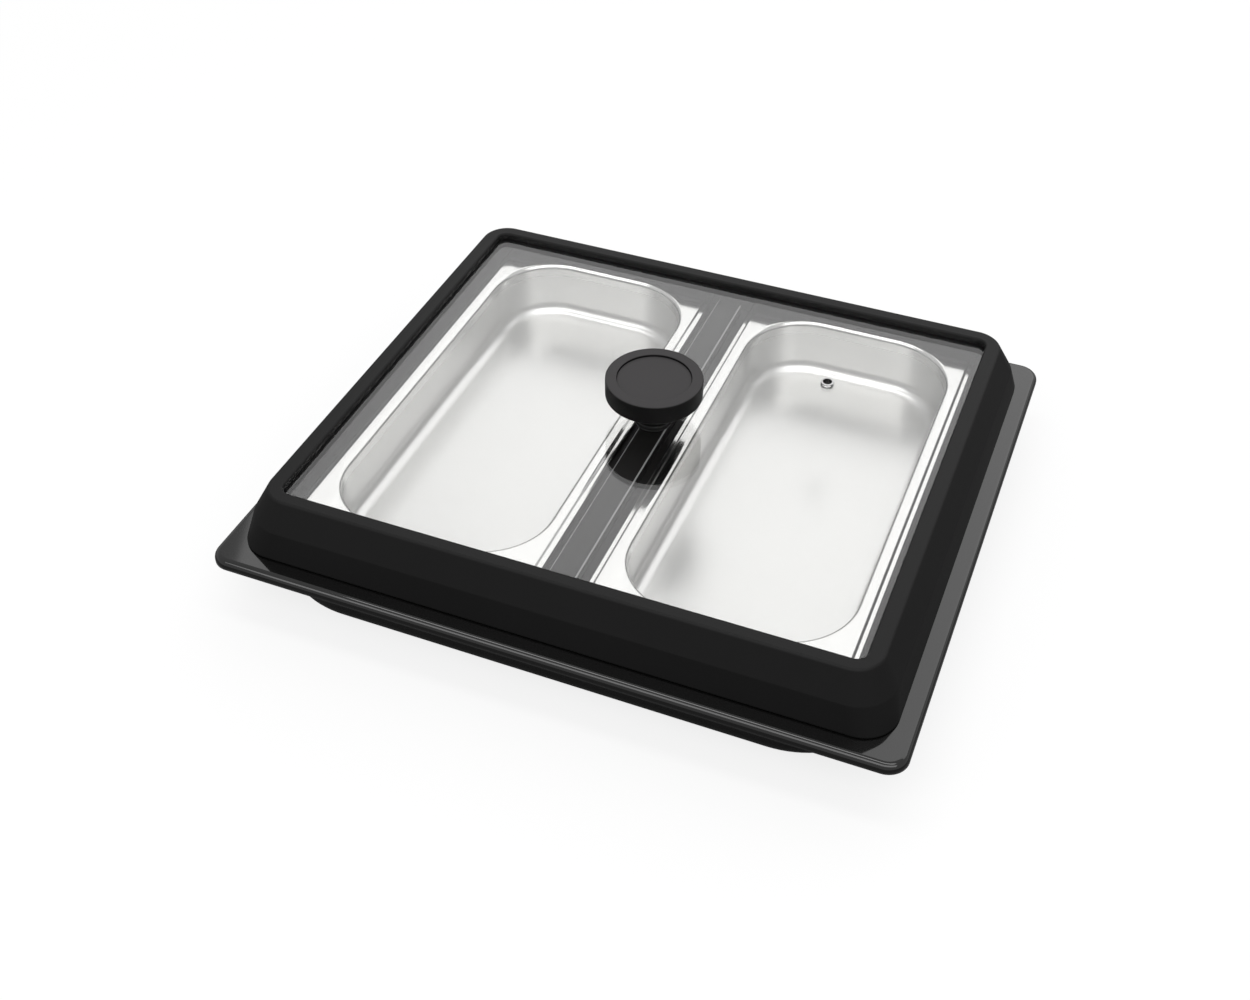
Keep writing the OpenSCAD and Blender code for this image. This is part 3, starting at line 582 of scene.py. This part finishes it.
class BUFFET_OT_base_panel(bpy.types.Operator):
    """Builds the top panel: rolled rim, ledge, raised deck with its openings, and the rib"""

    bl_idname = "buffet.base_panel"
    bl_label = "Base Panel"

    def execute(self, context):
        size, paint = context.scene.buffet_sizes, context.scene.buffet_colours
        ledge = LID_LOW.z
        deck = ledge + size.deck_rise
        rim_x, rim_y, rim_r = PANEL_HIGH.x, PANEL_HIGH.y, size.rim_corner
        deck_x, deck_y = LID_HIGH.x - size.deck_inset, LID_HIGH.y - size.deck_inset
        deck_r = size.deck_corner
        turn, apron, border = size.rim_roll + 1 * MM, 2 * MM, 4 * MM
        outline = plan_rings(
            softened(
                [
                    (rim_x, PANEL_LOW.z, rim_y, rim_r),
                    (rim_x, ledge, rim_y, rim_r),
                    (rim_x - turn, ledge, rim_y - turn, rim_r - turn),
                    (deck_x + apron, ledge, deck_y + apron, deck_r + apron),
                    (deck_x, ledge, deck_y, deck_r),
                    (deck_x, deck, deck_y, deck_r),
                    (deck_x - border, deck, deck_y - border, deck_r - border),
                ],
                [0, size.rim_roll, 0, 0, size.deck_foot, size.deck_edge, 0],
            )
        )
        rib_x, rib_y, rib_top = size.rib_width / 2, deck_y - size.rib_end, deck + size.rib_rise
        rib_r, crown = size.rib_corner, 2.3 * MM
        rib = plan_rings(
            softened(
                [
                    (rib_x + apron, deck, rib_y + apron, rib_r + apron),
                    (rib_x, deck, rib_y, rib_r),
                    (rib_x, rib_top, rib_y, rib_r),
                    (rib_x - crown, rib_top, rib_y - crown, rib_r - crown),
                ],
                [0, size.rib_foot, size.rib_edge, 0],
            )
        )
        pan_x, pan_y, half_x, half_y = plan_of(PAN_LOW, PAN_HIGH)
        play = 1.5 * MM
        gap = size.bowl_margin + size.bowl_lip - size.pan_sheet - play
        opening_r = size.bowl_corner - (gap - size.bowl_margin)
        opening = [(half_x - gap, deck, half_y - gap, opening_r)]
        holes = [plan_rings(opening, (side * pan_x, pan_y)) for side in (-1, 1)]

        stacks = [outline, rib, *holes]
        first = np.cumsum([0] + [stack.shape[0] * stack.shape[1] for stack in stacks])
        around = outline.shape[1]
        edges = [
            np.arange(first[1] - around, first[1]),
            np.arange(first[1], first[1] + around),
            np.arange(first[2], first[3]),
            np.arange(first[3], first[4]),
        ]
        points = np.vstack([stack.reshape(-1, 3) for stack in stacks])
        faces = ring_quads(outline).tolist() + ring_quads(rib, first=first[1]).tolist()
        faces += flat_between(points, edges) + [list(range(first[2] - around, first[2]))]
        # The painted highlight lies just inside each side of the rib, near its top.
        highlight_line = rib_x - 0.6 * MM, rib_top
        # Above the deck's height the enamel gets painted light.
        finish = gloss_enamel("Gloss black enamel", tuple(paint.enamel), 0.05, deck, highlight_line)
        replaced = ["base_panel"]
        made = piece("base_panel_skin", "base", finish, points, faces, replaced)
        thicken(made, size.panel_sheet)
        return {"FINISHED"}


class BUFFET_OT_base_housing(bpy.types.Operator):
    """Builds the shallow dish below the panel, with the inlet's window in its rear wall"""

    bl_idname = "buffet.base_housing"
    bl_label = "Base Housing"

    def execute(self, context):
        size, paint = context.scene.buffet_sizes, context.scene.buffet_colours
        half_x, half_y = HOUSING_HIGH.x, HOUSING_HIGH.y
        low, high, corner = HOUSING_LOW.z, HOUSING_HIGH.z, size.housing_corner
        play, flat = 0.3 * MM, size.housing_floor + 6 * MM
        window_x = size.inlet_width / 2 + play
        window_low, window_high = INLET_LOW.z - play, INLET_HIGH.z + play
        section = softened(
            [
                (half_x - flat, low, half_y - flat, corner - flat),
                (half_x, low, half_y, corner),
                (half_x, window_low, half_y, corner),
                (half_x, window_high, half_y, corner),
                (half_x, high, half_y, corner),
            ],
            [0, size.housing_floor, 0, 0, 0],
            steps=12,
        )
        rings = plan_rings(section, back_cut=window_x)
        quads = ring_quads(rings)
        middle = rings.reshape(-1, 3)[quads].mean(axis=1)
        inside = (np.abs(middle[:, 0]) < window_x) & (middle[:, 1] > half_y - size.housing_floor)
        inside &= (middle[:, 2] > window_low) & (middle[:, 2] < window_high)
        faces = quads[~inside].tolist() + end_faces(rings)[:1]
        finish = gloss_enamel("Satin black paint", tuple(paint.enamel), 0.2)
        replaced = ["base_housing"]
        made = piece("base_housing_skin", "base", finish, rings, faces, replaced)
        thicken(made, size.panel_sheet)
        return {"FINISHED"}


class BUFFET_OT_feet(bpy.types.Operator):
    """Builds the rubber feet: turned pads with soft edges and a recess for the screw"""

    bl_idname = "buffet.feet"
    bl_label = "Rubber Feet"

    def execute(self, context):
        size, paint = context.scene.buffet_sizes, context.scene.buffet_colours
        outer, recess, bore = size.foot_width / 2, size.foot_recess / 2, size.foot_bore / 2
        top, seat = FOOT_HIGH.z, size.foot_seat
        section = softened(
            [
                (bore, top),
                (bore, seat),
                (recess, seat),
                (recess, 0),
                (outer, 0),
                (outer, top),
            ],
            [radius * MM for radius in (0.2, 0.2, 0.2, 0.5, 1.2, 0.4)],
            steps=5,
            closed=True,
        )
        faces, points, first = [], [], 0
        for side_x in (-1, 1):
            for side_y in (-1, 1):
                centre = side_x * (FOOT_HIGH.x - outer), side_y * (FOOT_HIGH.y - outer)
                rings = turned_rings(section, centre)
                faces += ring_quads(rings, closed=True, first=first).tolist()
                points.append(rings.reshape(-1, 3))
                first += len(points[-1])
        points = np.vstack(points)
        finish = matt_body("Black rubber", tuple(paint.rubber), 0.75, scale=300.0)
        piece("rubber_feet_pads", "base", finish, points, faces, ["rubber_feet"])
        return {"FINISHED"}


class BUFFET_OT_pans(bpy.types.Operator):
    """Builds both food pans: flange with a stepped hem, and a bowl with large corners"""

    bl_idname = "buffet.pans"
    bl_label = "Food Pans"

    def execute(self, context):
        size, paint = context.scene.buffet_sizes, context.scene.buffet_colours
        pan_x, pan_y, half_x, half_y = plan_of(PAN_LOW, PAN_HIGH)
        top, floor = PAN_HIGH.z, PAN_LOW.z + size.pan_sheet
        rest, hem = top - size.pan_edge, top - size.hem_step
        flange = size.hem_width + size.hem_slope
        brink = size.bowl_margin - 0.4 * MM
        wall = size.bowl_margin + size.bowl_lip
        foot = wall + size.bowl_draft
        end = foot + size.bowl_floor + 4 * MM
        outer_r, bowl_r = size.pan_corner, size.bowl_corner + size.bowl_margin
        hem_edge, hem_root, flange_edge = 1.2 * MM, 0.6 * MM, 0.9 * MM

        def inset(by, z, corner):
            return half_x - by, z, half_y - by, corner - by

        skin = softened(
            [
                inset(0, rest, outer_r),
                inset(0, hem, outer_r),
                inset(size.hem_width, hem, outer_r),
                inset(flange, top, outer_r),
                inset(brink, top, bowl_r),
                inset(wall, top, bowl_r),
                inset(foot, floor, bowl_r),
                inset(end, floor, bowl_r),
            ],
            [0, hem_edge, hem_root, flange_edge, 0, size.bowl_lip, size.bowl_floor, 0],
            steps=10,
        )
        section = sheet_section(skin, size.pan_sheet)
        lip = top - size.bowl_lip
        steel = tuple(paint.steel)
        finish = satin_steel("Satin stainless steel", steel, 0.32, bright_above=lip, bright=0.2)
        for side, name in ((-1, "left"), (1, "right")):
            rings = plan_rings(section, (side * pan_x, pan_y))
            faces = ring_quads(rings).tolist() + end_faces(rings)
            body, replaced = f"{name}_pan", [f"pan_{name}"]
            piece(f"food_pan_{name}", body, finish, rings, faces, replaced)
        return {"FINISHED"}


class BUFFET_OT_lid_frame(bpy.types.Operator):
    """Builds the lid's moulded frame: skirt, sloped shoulder, flat band and the glass's groove"""

    bl_idname = "buffet.lid_frame"
    bl_label = "Lid Frame"

    def execute(self, context):
        size, paint = context.scene.buffet_sizes, context.scene.buffet_colours
        half_x, half_y, low, high = LID_HIGH.x, LID_HIGH.y, LID_LOW.z, LID_HIGH.z
        crease = low + size.skirt_rise
        above, below = GLASS_HIGH.z + FIT, GLASS_LOW.z - FIT
        lip = below - size.frame_lip
        groove_x, groove_y, groove_r = GLASS_HIGH.x + 2 * FIT, GLASS_HIGH.y + 2 * FIT, 11 * MM
        # Plan distances from the skirt's foot, across and along the lid, in millimetres.
        foot, shoulder, band, sight = (0, 0), (4.0, 4.2), (13.5, 13.2), (22.6, 21.5)
        inner_lip, inner_crease, inner_foot = (12.0, 12.0), (7.7, 7.7), (4.0, 4.0)

        def inset(by, z, corner):
            return half_x - by[0] * MM, z, half_y - by[1] * MM, corner * MM

        section = softened(
            [
                inset(foot, low, 20),
                inset(shoulder, crease, 23),
                inset(band, high, 16),
                inset(sight, high, 6),
                inset(sight, above, 6),
                (groove_x, above, groove_y, groove_r),
                (groove_x, below, groove_y, groove_r),
                inset(sight, below, 6),
                inset(sight, lip, 6),
                inset(inner_lip, lip, 14),
                inset(inner_crease, crease - 2 * MM, 18),
                inset(inner_foot, low, 16),
            ],
            [r * MM for r in (1.2, 3.0, 2.2, 1.6, 0.3, 0.1, 0.1, 0.3, 1.0, 1.5, 3.0, 0.8)],
            closed=True,
        )
        rings = plan_rings(section)
        faces = ring_quads(rings, closed=True).tolist()
        finish = grained_plastic("Matt black moulding", tuple(paint.frame), 0.5, 0.2)
        piece("lid_frame_moulding", "lid", finish, rings, faces, ["lid_frame"])
        return {"FINISHED"}


class BUFFET_OT_lid_glass(bpy.types.Operator):
    """Gives the glass pane its clear finish"""

    bl_idname = "buffet.lid_glass"
    bl_label = "Lid Glass"

    def execute(self, context):
        paint = context.scene.buffet_colours
        show_nodes(clear_glass("Clear tempered glass", tuple(paint.glass)), "lid_glass")
        return {"FINISHED"}


class BUFFET_OT_knob(bpy.types.Operator):
    """Builds the knob: neck, tapered underside, disc with a sunken top, and the cap in it"""

    bl_idname = "buffet.knob"
    bl_label = "Knob and Cap"

    def execute(self, context):
        size, paint = context.scene.buffet_sizes, context.scene.buffet_colours
        low, high, outer = KNOB_LOW.z, KNOB_HIGH.z, KNOB_HIGH.x
        neck, bore = size.knob_neck / 2, size.knob_bore / 2
        disc = high - size.knob_disc
        cap_r, cap_low, cap_high = CAP_HIGH.x, CAP_LOW.z, CAP_HIGH.z
        black = tuple(paint.knob)
        body = softened(
            [
                (bore, low),
                (neck, low),
                (neck, disc - size.knob_taper),
                (outer, disc),
                (outer, high),
                (cap_r + FIT, high),
                (cap_r + FIT, cap_low),
                (bore, cap_low),
            ],
            [radius * MM for radius in (0.2, 0.5, 4.0, 1.5, 0.8, 0.35, 0.1, 0.2)],
            closed=True,
        )
        rings = turned_rings(body)
        faces = ring_quads(rings, closed=True).tolist()
        finish = self.painted_top_light_plastic("Matt black knob", black, high)
        piece("lid_knob_body", "lid", finish, rings, faces, ["lid_knob"])

        flat = cap_r - 3 * MM
        cover = softened(
            [(flat, cap_low), (cap_r, cap_low), (cap_r, cap_high), (flat, cap_high)],
            [0, 0.2 * MM, 0.4 * MM, 0],
        )
        rings = turned_rings(cover)
        faces = ring_quads(rings).tolist() + end_faces(rings)
        finish = self.painted_top_light_plastic("Matt black cap", black, cap_high)
        piece("knob_cap_disc", "lid", finish, rings, faces, ["knob_cap"])
        return {"FINISHED"}

    def painted_top_light_plastic(self, name, base, top):
        """The knob's plastic, with painted light that makes its top face lighter."""
        # Painted light: the colour is ten times lighter on the knob's and the cap's top faces.
        return grained_plastic(name, base, 0.5, gloss=0.12, painted_light_above=top - 0.1 * MM, pale=10)


class BUFFET_OT_vent(bpy.types.Operator):
    """Builds the steam vent: a turned eyelet, flanged on both faces of the glass"""

    bl_idname = "buffet.vent"
    bl_label = "Steam Vent"

    def execute(self, context):
        size, paint = context.scene.buffet_sizes, context.scene.buffet_colours
        x, y, outer, _ = plan_of(VENT_LOW, VENT_HIGH)
        bore, tube = size.vent_bore / 2, size.vent_tube / 2
        section = softened(
            [
                (bore, VENT_LOW.z),
                (outer, VENT_LOW.z),
                (outer, GLASS_LOW.z),
                (tube, GLASS_LOW.z),
                (tube, GLASS_HIGH.z),
                (outer, GLASS_HIGH.z),
                (outer, VENT_HIGH.z),
                (bore, VENT_HIGH.z),
            ],
            [radius * MM for radius in (0.3, 0.4, 0.05, 0.05, 0.05, 0.05, 0.4, 0.3)],
            steps=5,
            closed=True,
        )
        rings = turned_rings(section, (x, y))
        faces = ring_quads(rings, closed=True).tolist()
        finish = painted_shade_bore_steel("Satin eyelet", tuple(paint.eyelet), (x, y), bore)
        piece("steam_vent_eyelet", "lid", finish, rings, faces, ["steam_vent"])
        return {"FINISHED"}


class BUFFET_OT_inner_pieces(bpy.types.Operator):
    """Gives the fixings, the heater, its control and the inlet their finishes"""

    bl_idname = "buffet.inner_pieces"
    bl_label = "Inner Pieces"

    def execute(self, context):
        paint = context.scene.buffet_colours
        zinc = matt_body("Zinc-plated steel", tuple(paint.zinc), 0.32, 1.0, 0.08)
        show_nodes(zinc, "foot_screws", "panel_posts", "panel_screws", "inlet_screws")
        show_nodes(zinc, "knob_screw", "knob_washer", "loop_end_pins")
        galvanised = matt_body("Galvanised steel", tuple(paint.galvanised), 0.42, 1.0, 0.2)
        show_nodes(galvanised, "loop_clips", "thermostat_clamp", "fuse_clip")
        brass = matt_body("Brass", tuple(paint.brass), 0.3, 1.0, 0.1)
        show_nodes(brass, "knob_insert", "earth_stud", "inlet_pins")
        washer = matt_body("Silicone washer", tuple(paint.washer), 0.6)
        show_nodes(washer, "knob_seals")
        sheath = matt_body("Heat-dulled sheath", tuple(paint.sheath), 0.45, 1.0, 0.3)
        show_nodes(sheath, "heating_loop_left", "heating_loop_right")
        ceramic = matt_body("Unglazed ceramic", tuple(paint.ceramic), 0.7, 0.0, 0.05, 200.0)
        show_nodes(ceramic, "loop_end_seals", "thermal_fuse", "terminal_block")
        reflector = satin_steel("Aluminised reflector", tuple(paint.reflector), 0.3)
        show_nodes(reflector, "reflector_plate")
        fibre = matt_body("Fibre mat", tuple(paint.fibre), 0.9, 0.0, 0.1, 500.0, 0.4 * MM)
        show_nodes(fibre, "insulation_mat")
        phenolic = matt_body("Phenolic", tuple(paint.phenolic), 0.5, 0.0, 0.2)
        show_nodes(phenolic, "thermostat")
        sleeve = matt_body("Silicone sleeve", tuple(paint.sleeve), 0.5, 0.0, 0.1)
        show_nodes(sleeve, "inner_wires")
        inlet = grained_plastic("Inlet moulding", tuple(paint.inlet), 0.35)
        show_nodes(inlet, "power_inlet")
        return {"FINISHED"}


class BUFFET_OT_stage(bpy.types.Operator):
    """Sets the pale floor, the soft studio light and the camera"""

    bl_idname = "buffet.stage"
    bl_label = "Stage"

    def execute(self, context):
        scene = context.scene
        self.lay_floor(scene)
        self.fill_world(scene)
        self.hang_softbox("softbox_back", (0.16, 1.8, 1.58), (3.6, 1.7), 19.5)
        self.hang_softbox("softbox_top", (0.0, -0.05, 1.9), (2.0, 0.36), 8)
        self.hang_softbox("softbox_front", (0.3, -1.4, 1.9), (4.0, 0.9), 24)
        self.set_camera(scene)
        scene.view_settings.view_transform = "Standard"
        return {"FINISHED"}

    def lay_floor(self, scene):
        """A flat square that is white to the eye and through glass, and keeps the shadow.

        Its own light takes over with the distance from the middle, up to the plain white of the
        world. To other rays it is grey and gives no light.
        """
        reach, grey = 4.0, (0.15, 0.15, 0.15, 1)
        near, far, near_share = 0.4, 1.5, 0.8
        mesh = bpy.data.meshes.new("studio_floor")
        corners = [(-reach, -reach, 0), (reach, -reach, 0), (reach, reach, 0), (-reach, reach, 0)]
        mesh.from_pydata(corners, [], [(0, 1, 2, 3)])
        floor = bpy.data.objects.new("studio_floor", mesh)
        scene.collection.objects.link(floor)
        material, s = new_finish("Pale floor")
        mesh.materials.append(material)
        seen = s.ray("Camera") + s.ray("Transmission")
        pale = s.blend(seen, grey, tuple(scene.buffet_colours.floor))
        away = s.node("ShaderNodeVectorMath", {"operation": "LENGTH"}, {0: s.place()}, "Value")
        white = seen * s.ramp(away, near, far, near_share, 1.0)
        matt = s.node("ShaderNodeBsdfDiffuse", sockets={"Color": pale})
        bright = s.node("ShaderNodeEmission", sockets={"Color": WHITE, "Strength": 1.0})
        s.surface(s.node("ShaderNodeMixShader", sockets={0: white, 1: matt, 2: bright}))

    def fill_world(self, scene):
        """A world that is white to the camera and gives the object an even soft light."""
        ambient = 0.56
        scene.world = bpy.data.worlds.new("Studio")
        s = Shader(scene.world, "ShaderNodeOutputWorld")
        strength = ambient + (1 - ambient) * s.ray("Camera")
        sockets = {"Color": WHITE, "Strength": strength}
        s.surface(s.node("ShaderNodeBackground", sockets=sockets))

    def hang_softbox(self, name, place, size, power):
        """A rectangular lamp that faces the middle of the object."""
        data = bpy.data.lights.new(name, "AREA")
        data.shape = "RECTANGLE"
        data.size, data.size_y = size
        data.energy = power
        lamp = bpy.data.objects.new(name, data)
        bpy.context.scene.collection.objects.link(lamp)
        lamp.location = place
        lamp.rotation_euler = Vector(place).to_track_quat("Z", "Y").to_euler()

    def set_camera(self, scene):
        """A camera in front, to the right and above, that looks down at the lid."""
        down, turn = math.radians(41.98), math.radians(22.13)
        data = bpy.data.cameras.new("photo_camera")
        camera = bpy.data.objects.new("photo_camera", data)
        scene.collection.objects.link(camera)
        scene.camera = camera
        data.sensor_width = 36
        data.lens = 43.554
        data.shift_x, data.shift_y = 0.0024, -0.0006
        data.clip_start, data.clip_end = 0.01, 50
        camera.location = (0.24456, -0.65079, 0.58991 + LID_LOW.z)
        camera.rotation_euler = (math.pi / 2 - down, 0, turn)


class BUFFET_PT_sidebar(bpy.types.Panel):
    """Lists the pieces in the 3D view's sidebar"""

    bl_idname = "BUFFET_PT_sidebar"
    bl_label = "Buffet Server"
    bl_space_type = "VIEW_3D"
    bl_region_type = "UI"
    bl_category = "Buffet Server"

    def draw(self, context):
        for operator in OPERATORS:
            self.layout.operator(operator.bl_idname)
        for group in (context.scene.buffet_sizes, context.scene.buffet_colours):
            for name in group.__annotations__:
                self.layout.prop(group, name)


OPERATORS = (
    BUFFET_OT_base_panel,
    BUFFET_OT_base_housing,
    BUFFET_OT_feet,
    BUFFET_OT_pans,
    BUFFET_OT_lid_frame,
    BUFFET_OT_lid_glass,
    BUFFET_OT_knob,
    BUFFET_OT_vent,
    BUFFET_OT_inner_pieces,
    BUFFET_OT_stage,
)
CLASSES = (BuffetSizes, BuffetColours, *OPERATORS, BUFFET_PT_sidebar)


def register():
    for item in CLASSES:
        bpy.utils.register_class(item)
    bpy.types.Scene.buffet_sizes = PointerProperty(type=BuffetSizes)
    bpy.types.Scene.buffet_colours = PointerProperty(type=BuffetColours)


def unregister():
    del bpy.types.Scene.buffet_colours
    del bpy.types.Scene.buffet_sizes
    for item in reversed(CLASSES):
        bpy.utils.unregister_class(item)


def main():
    register()
    for operator in OPERATORS:
        group, name = operator.bl_idname.split(".")
        if getattr(getattr(bpy.ops, group), name)() != {"FINISHED"}:
            raise RuntimeError(f"{operator.bl_label} was not finished")


if __name__ == "__main__":
    main()
